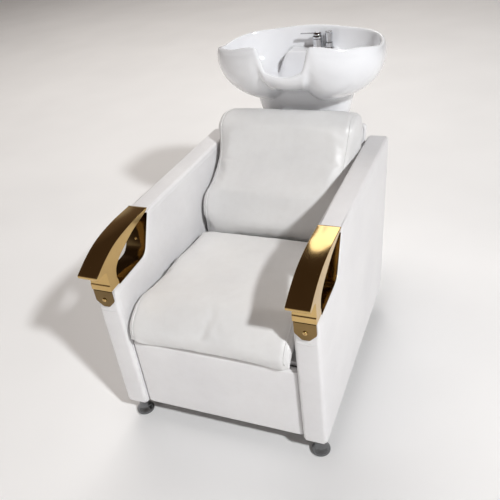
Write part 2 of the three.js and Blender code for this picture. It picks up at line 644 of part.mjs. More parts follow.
add('waste_tail', turned([[16, 548], [19, 548], [19, 690], [DRAIN.hole + 3, 690], [DRAIN.hole + 3, 699.7],
  [16, 699.7], [16, 548]]).translate(0, DRAIN.y, 0), chrome);

// ---------------------------------------------------------------- build: mixer tap and hand shower
const deckTop = DECK.z + GAP;
const bodyTop = deckTop + TAP.height - 18;
add('mixer_body', turned([[0, HOSE.topZ + GAP], [11.5, HOSE.topZ + GAP], [11.5, deckTop], [24, deckTop],
  [24, deckTop + 4], [TAP.radius, deckTop + 7], [TAP.radius, bodyTop], [0, bodyTop]])
  .translate(TAP.x, TAP.y, 0), chrome);

const swivelZ = bodyTop + GAP;
add('mixer_swivel', turned([[0, swivelZ], [TAP.radius, swivelZ], [TAP.radius, swivelZ + 9],
  [TAP.radius - 4, swivelZ + 12], [0, swivelZ + 12]]).translate(TAP.x, TAP.y, 0), chrome);

// A domed cap with a flat handle that reaches to the left.
function mixerLever() {
  const z = swivelZ + 12 + GAP;
  const cap = turned([[0, z], [TAP.radius - 4, z], [TAP.radius - 3, z + 3], [TAP.radius - 5, z + 8],
    [8, z + 11], [0, z + 11.5]]);
  const handle = alongY(outline([[-66, z + 1, 2.5], [-66, z + 7, 2.5], [-8, z + 9, 3], [-8, z + 2, 3]]),
    -7, 7, 1.5, 2);
  return geometryOf(solid(cap).add(solid(handle)).translate([TAP.x, TAP.y, 0]));
}
add('mixer_lever', mixerLever(), chrome);

add('shower_holder', turned([[9.5, 800], [10.5, 800], [10.5, deckTop], [19, deckTop], [19, deckTop + 4],
  [15, deckTop + 8], [13.5, deckTop + 24], [11.5, deckTop + 24], [9.5, deckTop + 10], [9.5, 800]])
  .translate(SHOWER.x, SHOWER.y, 0), chrome);

add('hand_shower', turned([[0, 812], [8, 812], [8.8, 820], [8.8, deckTop + 12], [11, deckTop + 25],
  [12, deckTop + 30], [13, deckTop + 62], [11, deckTop + 65], [0, deckTop + 65]])
  .translate(SHOWER.x, SHOWER.y, 0), chrome);

// The origin is on the floor under the middle of the unit.
const middle = new THREE.Box3().setFromObject(unit).getCenter(new THREE.Vector3());
unit.position.y = -middle.y;

export default unit;
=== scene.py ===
import json
import math

import bmesh
import bpy
import numpy as np
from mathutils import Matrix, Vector
from mathutils.bvhtree import BVHTree


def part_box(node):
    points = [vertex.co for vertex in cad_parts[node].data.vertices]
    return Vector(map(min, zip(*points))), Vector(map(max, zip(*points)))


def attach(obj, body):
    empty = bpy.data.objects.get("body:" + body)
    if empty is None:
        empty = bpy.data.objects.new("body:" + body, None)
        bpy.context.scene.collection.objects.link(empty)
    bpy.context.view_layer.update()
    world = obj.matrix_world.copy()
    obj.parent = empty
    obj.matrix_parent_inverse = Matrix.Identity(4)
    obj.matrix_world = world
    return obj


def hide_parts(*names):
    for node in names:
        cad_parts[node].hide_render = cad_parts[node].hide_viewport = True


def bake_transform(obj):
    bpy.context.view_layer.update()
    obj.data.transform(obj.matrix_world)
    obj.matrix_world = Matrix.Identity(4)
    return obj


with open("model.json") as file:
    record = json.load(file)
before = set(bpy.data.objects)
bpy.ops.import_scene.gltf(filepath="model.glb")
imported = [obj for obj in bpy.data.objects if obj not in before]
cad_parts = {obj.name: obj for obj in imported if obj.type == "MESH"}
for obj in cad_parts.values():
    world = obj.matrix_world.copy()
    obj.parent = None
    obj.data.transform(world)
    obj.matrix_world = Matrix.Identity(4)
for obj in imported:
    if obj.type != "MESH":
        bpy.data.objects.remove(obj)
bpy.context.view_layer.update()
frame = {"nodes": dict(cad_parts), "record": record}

MM = 0.001
PANEL_LOW, PANEL_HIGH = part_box("side_cover_right")
FRONT_Y = PANEL_LOW.y
INNER_X = PANEL_LOW.x / MM
OUTER_X = PANEL_HIGH.x / MM
SIDES = (("left", -1), ("right", 1))
CHAIR, BASIN = "chair", "basin_head"


def at(x, y, z):
    return Vector((x * MM, FRONT_Y + y * MM, z * MM))


def local(node):
    """A CAD node's box as two corners in millimetres from the panels' front."""
    shift = Vector((0, FRONT_Y, 0))
    low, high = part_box(node)
    return (low - shift) / MM, (high - shift) / MM


def mix(a, b, t):
    return a + (b - a) * t


def share_between(x, low, high):
    return (x - low) / (high - low)


def smooth_step(x, low, high):
    t = min(max(share_between(x, low, high), 0), 1)
    return t * t * (3 - 2 * t)


def placed(name, data):
    """A new object in the scene that shows the given data."""
    thing = bpy.data.objects.new(name, data)
    bpy.context.scene.collection.objects.link(thing)
    return thing


def set_stops(ramp, stops):
    """Gives a colour ramp its (place, value or colour) stops."""
    while len(ramp.elements) < len(stops):
        ramp.elements.new(0.5)
    for element, (position, value) in zip(ramp.elements, stops):
        element.position = position
        element.color = (*value, 1) if isinstance(value, tuple) else (value, value, value, 1)


# ---- materials
class Surface:
    """A procedural material: a Principled shader whose look is built from the piece's own coordinates."""

    def __init__(self, name, **sockets):
        self.material = bpy.data.materials.new(name)
        self.material.use_nodes = True
        self.tree = self.material.node_tree
        self.shader = self.tree.nodes["Principled BSDF"]
        self.place = self.tree.nodes.new("ShaderNodeTexCoord").outputs["Object"]
        for socket, value in sockets.items():
            self.shader.inputs[socket.replace("_", " ")].default_value = value

    def link(self, source, target):
        self.tree.links.new(source, target)

    def node(self, kind, links, **values):
        """A shader node with some of its inputs linked and others set."""
        node = self.tree.nodes.new(f"ShaderNode{kind}")
        for socket, value in values.items():
            node.inputs[socket].default_value = value
        for socket, source in links.items():
            self.link(source, node.inputs[socket])
        return node

    def stretched(self, scale):
        return self.node("Mapping", {"Vector": self.place}, Scale=scale).outputs["Vector"]

    def noise(self, scale, detail=3.0, roughness=0.55, vector=None):
        return self.node("TexNoise", {"Vector": vector or self.place}, Scale=scale, Detail=detail,
                         Roughness=roughness).outputs["Fac"]

    def cells(self, scale, feature="DISTANCE_TO_EDGE"):
        node = self.node("TexVoronoi", {"Vector": self.place}, Scale=scale)
        node.feature = feature
        return node.outputs["Distance"]

    def wave(self, scale, distortion, direction, vector=None):
        node = self.node("TexWave", {"Vector": vector or self.place}, Scale=scale, Distortion=distortion)
        node.bands_direction = direction
        return node.outputs["Fac"]

    def ramp(self, source, *stops):
        node = self.node("ValToRGB", {"Fac": source})
        set_stops(node.color_ramp, stops)
        return node.outputs["Color"]

    def combine(self, a, b, kind="MULTIPLY"):
        node = self.node("Math", {0: a, 1: b})
        node.operation = kind
        return node.outputs[0]

    def multiply(self, first, second, share):
        """Darkens the first colour by a share of the second."""
        node = self.tree.nodes.new("ShaderNodeMix")
        node.data_type = "RGBA"
        node.blend_type = "MULTIPLY"
        node.inputs["Factor"].default_value = share
        self.link(first, node.inputs["A"])
        self.link(second, node.inputs["B"])
        return node.outputs["Result"]

    def bump(self, height, depth_mm, strength, below=None):
        links = {"Height": height, "Normal": below} if below else {"Height": height}
        return self.node("Bump", links, Distance=depth_mm * MM, Strength=strength).outputs["Normal"]

    def finish(self, color=None, roughness=None, normal=None):
        for name, source in (("Base Color", color), ("Roughness", roughness), ("Normal", normal)):
            if source:
                self.link(source, self.shader.inputs[name])
        return self.material


def leather(name, light, shade, crease):
    """Coated white leather: pebble grain, soft stretch ripples and faint handling marks."""
    s = Surface(name, Specular_IOR_Level=0.45, Coat_Weight=0.12, Coat_Roughness=0.35)
    broad = s.noise(5.0, 3.0)
    marks = s.noise(38.0, 5.0, 0.65)
    color = s.ramp(broad, (0.32, shade), (0.68, light))
    color = s.multiply(color, s.ramp(marks, (0.3, (0.93, 0.92, 0.91)), (0.6, 1.0)), 0.35)
    pores = s.cells(620.0)
    grain = s.bump(s.ramp(pores, (0.0, 0.0), (0.22, 1.0)), 0.09, 0.5)
    fine = s.bump(s.noise(1400.0, 2.0), 0.05, 0.35, grain)
    ripple = s.bump(s.noise(17.0, 2.0, 0.4, s.stretched((1.0, 1.0, 0.6))), crease, 0.5, fine)
    return s.finish(color, s.ramp(marks, (0.3, 0.36), (0.7, 0.47)), ripple)


def gold(name, light, dark, rough):
    """Mirror-polished gold plating with faint polishing lines and smears."""
    s = Surface(name, Metallic=1.0)
    smear = s.noise(26.0, 4.0, 0.6)
    lines = s.noise(420.0, 3.0, 0.6, s.stretched((3.0, 0.12, 0.12)))
    color = s.ramp(s.noise(7.0, 2.0), (0.3, dark), (0.7, light))
    polish = s.ramp(s.combine(smear, lines, "ADD"), (0.35, rough), (1.0, rough + 0.08))
    return s.finish(color, polish, s.bump(lines, 0.012, 0.4))


def chrome(name, rough=0.05, tone=1.0):
    """Chrome plating with water marks and fine wipe lines."""
    s = Surface(name, Metallic=1.0)
    spots = s.cells(95.0, "F1")
    haze = s.noise(55.0, 5.0, 0.65)
    dull, bright = (tuple(tone * part for part in rgb) for rgb in ((0.56, 0.57, 0.59), (0.66, 0.67, 0.69)))
    color = s.ramp(haze, (0.3, dull), (0.7, bright))
    marks = s.combine(haze, s.ramp(spots, (0.1, 1.0), (0.35, 0.7)))
    return s.finish(color, s.ramp(marks, (0.2, rough), (0.7, rough + 0.13)), s.bump(haze, 0.01, 0.3))


def ceramic():
    """Glazed sanitary ware: deep clear glaze, soft orange-peel ripple and a trace of grey in the body."""
    s = Surface("white_ceramic", Specular_IOR_Level=0.6, Coat_Weight=0.7, Coat_Roughness=0.04)
    cloud = s.noise(6.0, 3.0)
    speck = s.ramp(s.noise(260.0, 2.0), (0.27, 0.9), (0.31, 1.0))
    color = s.multiply(s.ramp(cloud, (0.3, (0.80, 0.81, 0.84)), (0.7, (0.87, 0.88, 0.9))), speck, 0.5)
    peel = s.bump(s.noise(70.0, 2.0, 0.4), 0.05, 0.35)
    return s.finish(color, s.ramp(s.noise(20.0, 4.0), (0.3, 0.08), (0.75, 0.17)), peel)


def powder_coat():
    """Black powder-coated steel: fine orange peel and faint dusty patches."""
    s = Surface("black_steel", Specular_IOR_Level=0.45)
    peel = s.noise(520.0, 2.0)
    dust = s.noise(14.0, 5.0, 0.7)
    color = s.ramp(dust, (0.35, (0.022, 0.022, 0.024)), (0.8, (0.06, 0.06, 0.062)))
    return s.finish(color, s.ramp(dust, (0.3, 0.38), (0.8, 0.6)), s.bump(peel, 0.08, 0.6))


def shell():
    """Gloss white moulded shell with a faint mould texture."""
    s = Surface("white_shell", Specular_IOR_Level=0.5, Coat_Weight=0.3, Coat_Roughness=0.12)
    scuffs = s.noise(30.0, 6.0, 0.7)
    color = s.ramp(scuffs, (0.3, (0.785, 0.79, 0.80)), (0.7, (0.815, 0.82, 0.83)))
    return s.finish(color, s.ramp(scuffs, (0.3, 0.2), (0.7, 0.33)), s.bump(s.noise(900.0, 2.0), 0.03, 0.4))


def rubber():
    s = Surface("black_rubber", Specular_IOR_Level=0.3)
    bloom = s.noise(22.0, 5.0, 0.7)
    color = s.ramp(bloom, (0.35, (0.018, 0.018, 0.019)), (0.8, (0.05, 0.05, 0.052)))
    return s.finish(color, s.ramp(bloom, (0.3, 0.6), (0.8, 0.82)), s.bump(s.noise(700.0, 3.0), 0.1, 0.5))


def plumbing():
    s = Surface("white_plumbing", Specular_IOR_Level=0.4)
    stain = s.noise(12.0, 5.0, 0.7)
    color = s.ramp(stain, (0.35, (0.62, 0.61, 0.58)), (0.75, (0.75, 0.75, 0.73)))
    return s.finish(color, s.ramp(stain, (0.3, 0.35), (0.8, 0.55)), s.bump(s.noise(300.0, 3.0), 0.04, 0.4))


def plywood():
    """Birch ply: long grain with darker plies."""
    s = Surface("plywood", Specular_IOR_Level=0.3)
    grain = s.noise(9.0, 6.0, 0.6, s.stretched((14.0, 1.0, 1.0)))
    plies = s.wave(52.0, 0.4, "Z")
    wood = s.ramp(grain, (0.3, (0.36, 0.22, 0.11)), (0.7, (0.6, 0.43, 0.25)))
    color = s.multiply(wood, s.ramp(plies, (0.35, (0.62, 0.55, 0.5)), (0.6, 1.0)), 0.4)
    return s.finish(color, s.ramp(grain, (0.3, 0.55), (0.7, 0.75)), s.bump(grain, 0.2, 0.5))


def braid():
    """Woven steel braid: two crossing sets of wires."""
    s = Surface("braided_hose", Metallic=1.0)
    one = s.wave(310.0, 0.0, "DIAGONAL")
    two = s.wave(310.0, 0.0, "DIAGONAL", s.stretched((-1.0, -1.0, 1.0)))
    weave = s.combine(one, two, "MAXIMUM")
    color = s.ramp(weave, (0.35, (0.12, 0.12, 0.13)), (0.85, (0.6, 0.61, 0.63)))
    return s.finish(color, s.ramp(weave, (0.3, 0.5), (0.9, 0.25)), s.bump(weave, 0.4, 0.8))


LOOKS = {
    "white_leather": leather("white_leather", (0.80, 0.795, 0.80), (0.745, 0.74, 0.75), 0.5),
    "cushion_leather": leather("cushion_leather", (0.79, 0.79, 0.785), (0.73, 0.73, 0.73), 1.2),
    # gold_plated: a gold tone deeper than bare gold; partly the plating's own tone, partly a painted
    # reflection standing for the dark room the polished metal mirrors
    "gold_plated": gold("gold_plated", (0.68, 0.47, 0.20), (0.58, 0.39, 0.155), 0.05),
    # gold_plate: painted shade, a far darker copy of the gold plating for the plates set in the shaded
    # notches below the armrests
    "gold_plate": gold("gold_plate", (0.27, 0.18, 0.075), (0.15, 0.10, 0.045), 0.05),
    "chrome": chrome("chrome"),
    "black_steel": powder_coat(),
    "white_shell": shell(),
    "black_rubber": rubber(),
    "white_plumbing": plumbing(),
    "braided_hose": braid(),
    "white_ceramic": ceramic(),
    "plywood": plywood(),
}
# Painted shade: a darker copy of the chrome for the feet, which stand in the shade under the chair.
SHADED_FOOT_CHROME = chrome("shaded_foot_chrome", 0.1, 0.3)
SLOT_OF = {row["node"]: row["material_slot"] for row in frame["record"]["subparts"]}


# ---- mesh helpers
def piece_from(name, points, faces, slot, body, *nodes):
    """A mesh piece in the frame: vertices in metres, riding on a body and standing for its CAD nodes."""
    mesh = bpy.data.meshes.new(name)
    mesh.from_pydata([tuple(p) for p in points], [], faces)
    mesh.validate()
    mesh.materials.append(LOOKS[slot])
    return settle(placed(name, mesh), slot, body, *nodes)


def edit(piece, change):
    """Runs a change on the piece's mesh as a bmesh."""
    work = bmesh.new()
    work.from_mesh(piece.data)
    change(work)
    work.to_mesh(piece.data)
    work.free()


def settle(piece, slot, body, *nodes):
    """Turns the faces outwards and, where a body is given, ties the piece to it and to its CAD nodes."""
    edit(piece, lambda work: bmesh.ops.recalc_face_normals(work, faces=work.faces))
    for polygon in piece.data.polygons:
        polygon.use_smooth = True
    if body:
        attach(piece, body)
    if nodes:
        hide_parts(*nodes)
    return piece


def weld(piece):
    """Joins points that lie in one place, and drops the faces that vanish."""
    edit(piece, lambda work: bmesh.ops.remove_doubles(work, verts=work.verts, dist=1e-6))
    edit(piece, lambda work: bmesh.ops.dissolve_degenerate(work, dist=1e-7, edges=work.edges))


def modified(piece, kind, **settings):
    """Adds a modifier and applies it to the mesh."""
    modifier = piece.modifiers.new(kind.lower(), kind)
    for key, value in settings.items():
        setattr(modifier, key, value)
    graph = bpy.context.evaluated_depsgraph_get()
    made = bpy.data.meshes.new_from_object(piece.evaluated_get(graph))
    piece.modifiers.remove(modifier)
    old = piece.data
    piece.data = made
    bpy.data.meshes.remove(old)
    return piece


def turns_of(count):
    """Angles that share a full turn evenly."""
    return [2 * math.pi * k / count for k in range(count)]


def bend(start, corner, end, t):
    """A point on the curve that leaves the start and the end towards the corner."""
    return (1 - t) ** 2 * start + 2 * t * (1 - t) * corner + t * t * end


def towards(start, end, distance):
    """The point that lies a distance from start on the way to end."""
    return start + (end - start) / np.linalg.norm(end - start) * distance


def loft(loops, wrapped=False):
    """Points and faces of a skin over equal rings, closed by end faces or back on the first ring."""
    count = len(loops[0])
    points = [p for loop in loops for p in loop]
    faces = []
    for i in range(len(loops) if wrapped else len(loops) - 1):
        here, ahead = i * count, (i + 1) % len(loops) * count
        faces += [(here + k, here + (k + 1) % count, ahead + (k + 1) % count, ahead + k)
                  for k in range(count)]
    if not wrapped:
        faces += [tuple(range(count))[::-1], tuple((len(loops) - 1) * count + k for k in range(count))]
    return points, faces


def rounded(profile, radius, steps=4):
    """Rounds each inner corner of an open profile; the ends stay, and so do corners too short to round."""
    longest_share, shortest = 0.45, 0.05
    out = [profile[0]]
    for corner in zip(profile, profile[1:], profile[2:]):
        before, here, after = (np.array(p, float) for p in corner)
        reach = min(radius, *(longest_share * np.linalg.norm(end - here) for end in (before, after)))
        if reach < shortest:
            out.append(corner[1])
            continue
        start, end = towards(here, before, reach), towards(here, after, reach)
        out += [tuple(bend(start, here, end, i / steps)) for i in range(steps + 1)]
    out.append(profile[-1])
    return out


def turned(name, profile, centre, slot, body, *nodes, radius=1.2, turns=64):
    """A turned piece about a vertical axis at centre (x, y); the profile is [radius, height] in mm."""
    line = rounded(profile, radius)
    count = len(line)
    points, faces = [], []
    for i, a in enumerate(turns_of(turns)):
        points += [at(centre[0] + r * math.cos(a), centre[1] + r * math.sin(a), z) for r, z in line]
        here, ahead = i * count, (i + 1) % turns * count
        faces += [(here + k, ahead + k, ahead + k + 1, here + k + 1) for k in range(count - 1)]
    piece = piece_from(name, points, faces, slot, None)
    weld(piece)
    return settle(piece, slot, body, *nodes)


def catmull(points, count):
    """Evenly spaced points on a smooth curve through the given ones."""
    pts = [np.array(p, float) for p in points]
    pts = [2 * pts[0] - pts[1], *pts, 2 * pts[-1] - pts[-2]]
    dense = []
    for four in zip(pts, pts[1:], pts[2:], pts[3:]):
        t = [0.0]
        for a, b in zip(four, four[1:]):
            t.append(t[-1] + max(np.linalg.norm(b - a), 1e-9) ** 0.5)
        for u in np.linspace(t[1], t[2], 40, endpoint=False):
            row = four
            for span in (1, 2):
                row = [mix(p, q, (u - t[i]) / (t[i + span] - t[i]))
                       for i, (p, q) in enumerate(zip(row, row[1:]))]
            dense.append(mix(*row, (u - t[1]) / (t[2] - t[1])))
    dense.append(pts[-2])
    dense = np.array(dense)
    length = np.concatenate([[0], np.cumsum(np.linalg.norm(np.diff(dense, axis=0), axis=1))])
    wanted = np.linspace(0, length[-1], count)
    return np.stack([np.interp(wanted, length, dense[:, k]) for k in range(dense.shape[1])], 1)


def tube_mesh(path, radius, sides=14):
    """Points and faces of a round tube along a path of frame points, with closed ends."""
    path = [Vector(p) for p in path]
    loops = []
    side = None
    for i, here in enumerate(path):
        along = (path[min(i + 1, len(path) - 1)] - path[max(i - 1, 0)]).normalized()
        if side is None:
            side = along.orthogonal().normalized()
        side = (side - along * side.dot(along)).normalized()
        up = along.cross(side)
        loops.append([here + (side * math.cos(a) + up * math.sin(a)) * radius for a in turns_of(sides)])
    return loft(loops)


def tube(name, path, radius_mm, slot, body, *nodes, sides=14):
    return piece_from(name, *tube_mesh(path, radius_mm * MM, sides), slot, body, *nodes)


# ---- outlines and padded slabs
def outline(corners, spacing=22.0, arc=9):
    """Points of a closed outline whose [a, b, radius] corners are rounded."""
    out = []
    for i, (a, b, radius) in enumerate(corners):
        following = corners[(i + 1) % len(corners)]
        here = np.array([a, b], float)
        before, after = np.array(corners[i - 1][:2], float), np.array(following[:2], float)
        start, end = towards(here, before, radius), towards(here, after, radius)
        out += [bend(start, here, end, k / arc) for k in range(arc + 1)]
        steps = max(2, round(np.linalg.norm(after - here) / spacing))
        out += [mix(end, towards(after, here, following[2]), k / steps) for k in range(1, steps)]
    return np.array(out)


def inset(corners, distance):
    """The corners, in anticlockwise order, moved inwards."""
    out = []
    count = len(corners)
    for i, (a, b, r) in enumerate(corners):
        here = np.array([a, b], float)
        before = here - np.array(corners[i - 1][:2], float)
        after = np.array(corners[(i + 1) % count][:2], float) - here
        before /= np.linalg.norm(before)
        after /= np.linalg.norm(after)
        n1 = np.array([-before[1], before[0]])
        n2 = np.array([-after[1], after[0]])
        move = (n1 + n2) * distance / (1 + n1 @ n2)
        turn = before[0] * after[1] - before[1] * after[0]
        out.append([a + move[0], b + move[1], max(r - distance * (1 if turn > 0 else -1), 1.5)])
    return out


SEAM_RINGS = ((1.2, 0.0), (2.0, 1.1), (2.6, 1.3), (3.2, 1.1), (4.2, 0.2))     # distance in from the edge, dip
CROWN_SHARES = (0.06, 0.15, 0.3, 0.5, 0.75, 1.0)


def edge_rings(radius, crown, seam, reach):
    """(inset, rise above the flat face) from the rim's middle to the centre of a padded face."""
    rings = [(radius * (1 - math.cos(a)), -radius * (1 - math.sin(a)))
             for a in np.linspace(0, math.pi / 2, 7)]
    if seam:
        rings += [(radius + distance, -dip) for distance, dip in SEAM_RINGS]
    start = radius + (5 if seam else 1)
    rings += [(mix(start, reach, t), crown * (1 - (1 - t) ** 2.2)) for t in CROWN_SHARES]
    return rings


def slab_mesh(corners, t0, t1, place, radius, crowns=(0, 0), seam=True, reach=70.0):
    """A padded slab: an outline in (a, b), thick along t, with rounded edges, a seam and crowned faces."""
    count = len(outline(corners))
    loops = []
    for face, (t, sign) in enumerate(((t0, -1), (t1, 1))):
        made = [[place(a, b, t + sign * rise) for a, b in resample(outline(inset(corners, off)), count)]
                for off, rise in edge_rings(radius, crowns[face], seam, reach)]
        loops = made[::-1] if face == 0 else loops + made
    return loft(loops)


def rectangle(a0, b0, a1, b1, low_radius, high_radius):
    return [[a0, b0, low_radius], [a1, b0, low_radius], [a1, b1, high_radius], [a0, b1, high_radius]]


def upholstered(name, node, corners, t0, t1, place, **edges):
    """A padded leather slab of the chair that stands for one CAD node."""
    panel = piece_from(name, *slab_mesh(corners, t0, t1, place, **edges), "white_leather", CHAIR, node)


def resample(points, count):
    """The same closed outline with a set number of points, its own points kept where the number agrees."""
    if len(points) == count:
        return points
    ring = np.vstack([points, points[:1]])
    length = np.concatenate([[0], np.cumsum(np.linalg.norm(np.diff(ring, axis=0), axis=1))])
    wanted = np.linspace(0, length[-1], count, endpoint=False)
    return np.stack([np.interp(wanted, length, ring[:, k]) for k in range(2)], 1)


# ---- side panels, front and rear panels
PANEL = {"bottom": 68, "foot_depth": 767, "top_depth": 905, "rear_top": 626, "post_top": 520}
NOTCH_CORNER, NOTCH_REAR = (185, 524), (248, 646)
PANEL_CORNERS = [
    [0, PANEL["bottom"], 13], [PANEL["foot_depth"], PANEL["bottom"], 13],
    [PANEL["top_depth"], PANEL["rear_top"], 26], [*NOTCH_REAR, 14], [*NOTCH_CORNER, 22],
    [0, PANEL["post_top"], 18],
]
NOTCH_LEAN = (NOTCH_REAR[0] - NOTCH_CORNER[0]) / (NOTCH_REAR[1] - NOTCH_CORNER[1])
POST_FOLD_Z = 452


def rear_edge(z):
    return mix(PANEL["foot_depth"], PANEL["top_depth"], share_between(z, PANEL["bottom"], PANEL["rear_top"]))


def side_panel(name, side):
    """An upholstered slab with a stitched seam near the edge of each face and a fold below the bracket."""
    upholstered(f"side_panel_{name}", f"side_cover_{name}", PANEL_CORNERS, INNER_X, OUTER_X,
                lambda a, b, t: at(side * t, a, b), radius=11, crowns=(0, 2.5))
    middle = side * (INNER_X + OUTER_X) / 2
    half = (OUTER_X - INNER_X) / 2 - 5
    fold = [at(middle + half * u, 1.2 - 1.7 * (1 - abs(u) ** 6) + 5 * abs(u) ** 10,
               POST_FOLD_Z - 5 * (1 - u * u)) for u in np.linspace(-1, 1, 25)]
    tube(f"post_fold_{name}", fold, 1.5, "white_leather", CHAIR, sides=10)


def front_panel():
    """The recessed padded panel below the seat, its top edge rolled."""
    low, high = local("front_panel")
    upholstered("front_panel_pad", "front_panel", rectangle(low.x, low.z, high.x, high.z, 10, 6),
                -high.y, -low.y, lambda a, b, t: at(a, -t, b), radius=10, crowns=(0, 3.5), seam=False,
                reach=80)


def rear_panel():
    """A padded panel just inside the leaning rear edges of the side panels."""
    low, high = local("rear_panel")
    upholstered("rear_panel_pad", "rear_panel", rectangle(low.x, low.z, high.x, high.z, 8, 8), -30, -12,
                lambda a, b, t: at(a, rear_edge(b) + t, b), radius=5, crowns=(0, 2.0))


# ---- cushions
SEAT_CORNERS = [
    [-20, 326, 20], [2, 330, 8], [10, 338, 8], [526, 318, 26], [526, 416, 30], [300, 446, 80], [48, 453, 52],
    [-30, 398, 44],
]
BACK_CORNERS = [
    [534, 330, 26], [705, 330, 24], [893, 668, 30], [888, 728, 34], [802, 742, 34], [744, 716, 30],
    [716, 634, 44], [656, 578, 46], [552, 528, 40], [526, 470, 30],
]
CUSHION_HALF = INNER_X - 2.0
SWELL = 7.0             # how much smaller a cushion starts than it ends
SEAT_MIDDLE_Z = 395
SEAT_CROWN, SEAT_NOSE = 11, 5
SEAT_BOARD_Y, SEAT_BOARD_Z = (2, 526), (338, 318)       # the top of the board, from front to rear
BACK_BOARD_Z, BACK_BOARD_Y = (328, 664), (708, 892)     # the front of the board, from bottom to top
LUMBAR_SWELL, NECK_RISE = 6, 5


def cushion_block(name, corners, half, end_round):
    """The cushion before it is stuffed: its side outline, lofted across with rounded ends."""
    right = [(half - end_round * (1 - math.cos(a)), end_round * (1 - math.sin(a)))
             for a in np.linspace(0, math.pi / 2, 6)]
    row = [(-x, off) for x, off in right] + right[::-1]
    count = len(outline(corners))
    loops = [[at(x, a, b) for a, b in resample(outline(inset(corners, off)), count)] for x, off in row]
    return piece_from(name, *loft(loops), "cushion_leather", None)


def rows(items, name):
    """One vector of every item, as the rows of an array."""
    flat = np.zeros(len(items) * 3)
    items.foreach_get(name, flat)
    return flat.reshape(-1, 3)


def put(mesh, points):
    mesh.vertices.foreach_set("co", points.astype(np.float32).ravel())
    mesh.update()


def stuff(piece, cap, pressure=4.0, frames=20):
    """Blows the cover up like a stuffed cushion; no point moves further than cap metres."""
    modified(piece, "REMESH", mode="VOXEL", voxel_size=0.0055)
    rest = rows(piece.data.vertices, "co")
    cloth = piece.modifiers.new("cloth", "CLOTH")
    cloth.settings.use_pressure = True
    cloth.settings.uniform_pressure_force = pressure
    cloth.settings.effector_weights.gravity = 0
    cloth.settings.tension_stiffness = cloth.settings.compression_stiffness = 30
    cloth.settings.bending_stiffness = 2.0
    cloth.point_cache.frame_start, cloth.point_cache.frame_end = 1, frames
    for step in range(1, frames + 1):
        bpy.context.scene.frame_set(step)
    graph = bpy.context.evaluated_depsgraph_get()
    moved = rows(piece.evaluated_get(graph).data.vertices, "co")
    piece.modifiers.remove(cloth)
    bpy.context.scene.frame_set(1)
    shift = moved - rest
    far = np.linalg.norm(shift, axis=1, keepdims=True)
    put(piece.data, rest + shift * np.minimum(1, cap / np.maximum(far, 1e-9)))
    modified(piece, "SMOOTH", factor=0.5, iterations=14)


def sewn(piece, name, line, body, depth=0.0026, spread=0.007, thread=1.7):
    """Pulls the cover in along a seam and lays a welt in it."""
    tree = BVHTree.FromObject(piece, bpy.context.evaluated_depsgraph_get())
    landed = [tree.find_nearest(p) for p in line]
    spots = np.array([hit[0] for hit in landed])
    points = rows(piece.data.vertices, "co")
    normals = rows(piece.data.vertex_normals, "vector")
    near = np.full(len(points), 1e9)
    for spot in spots:
        near = np.minimum(near, np.linalg.norm(points - spot, axis=1))
    put(piece.data, points - normals * (depth * np.exp(-(near / spread) ** 2))[:, None])
    path = [hit[0] - hit[1] * (depth - 0.0009) for hit in landed]
    tube(name, path, thread, "cushion_leather", body, sides=10)


def crown(piece, field):
    """Moves each point up or out by a field of (x, y, z) millimetres from the panels' front."""
    points = rows(piece.data.vertices, "co")
    shift = np.array([field(p[0] / MM, (p[1] - FRONT_Y) / MM, p[2] / MM) for p in points]) * MM
    put(piece.data, points + shift)


def hold(piece, half):
    """Keeps the cushion between the side panels."""
    points = rows(piece.data.vertices, "co")
    limit = half * MM
    over = np.abs(points[:, 0]) > limit
    points[over, 0] = np.sign(points[over, 0]) * limit
    put(piece.data, points)


def seam_line(corners, x, inward, first, last, count):
    """Points along part of a cushion's side outline, from share first to share last of its length."""
    ring = resample(outline(inset(corners, inward)), 400)
    picks = np.linspace(first * 400, last * 400, count).astype(int) % 400
    return [at(x, *ring[i]) for i in picks]


def cushion(name, corners, end_round, cap, puff, welt):
    """A stuffed cushion with a welt near each end; welt is (distance from the end, first, last, count)."""
    piece = cushion_block(f"{name}_pad", inset(corners, SWELL), CUSHION_HALF - SWELL, end_round)
    stuff(piece, cap)
    crown(piece, puff)
    hold(piece, INNER_X - 0.6)
    for side_name, side in SIDES:
        line = seam_line(corners, side * (CUSHION_HALF - welt[0]), -4, *welt[1:])
        sewn(piece, f"{name}_welt_{side_name}", line, CHAIR)
    modified(piece, "SUBSURF", levels=1, render_levels=1)
    settle(piece, "cushion_leather", CHAIR, f"{name}_cushion")


def seat_cushion():
    def puff(x, y, z):
        across = max(0.0, 1 - (x / CUSHION_HALF) ** 2)
        top = smooth_step(z, SEAT_MIDDLE_Z, SEAT_MIDDLE_Z + 45)
        along = smooth_step(y, -10, 120) * (1 - smooth_step(y, 420, 540))
        front = smooth_step(-y, -30, 14) * max(0.0, 1 - abs(z - SEAT_MIDDLE_Z) / 60)
        return 0, -SEAT_NOSE * front * across, SEAT_CROWN * across ** 0.6 * top * along
    cushion("seat", SEAT_CORNERS, 22, 0.016, puff, (21, 0.36, 0.985, 70))


def backrest_cushion():
    def puff(x, y, z):
        across = max(0.0, 1 - (x / CUSHION_HALF) ** 2)
        lumbar = smooth_step(z, 400, 470) * (1 - smooth_step(z, 530, 600))
        neck = smooth_step(z, 640, 700)
        facing = 1 - smooth_step(y, 700, 800)
        return 0, -LUMBAR_SWELL * across * lumbar * facing, NECK_RISE * across * neck
    cushion("backrest", BACK_CORNERS, 24, 0.015, puff, (22, 0.22, 0.99, 90))


def backrest_back():
    """The leaning board behind the backrest cushion, covered in leather."""
    half = CUSHION_HALF - 3
    low, high = BACK_BOARD_Z

    def place(a, b, t):
        return at(a, mix(*BACK_BOARD_Y, share_between(b, low, high)) + t, b)
    upholstered("backrest_back", "backrest_board", rectangle(-half, low + 3, half, high, 10, 14),
                1, 17, place, radius=6, crowns=(0, 3), reach=60)


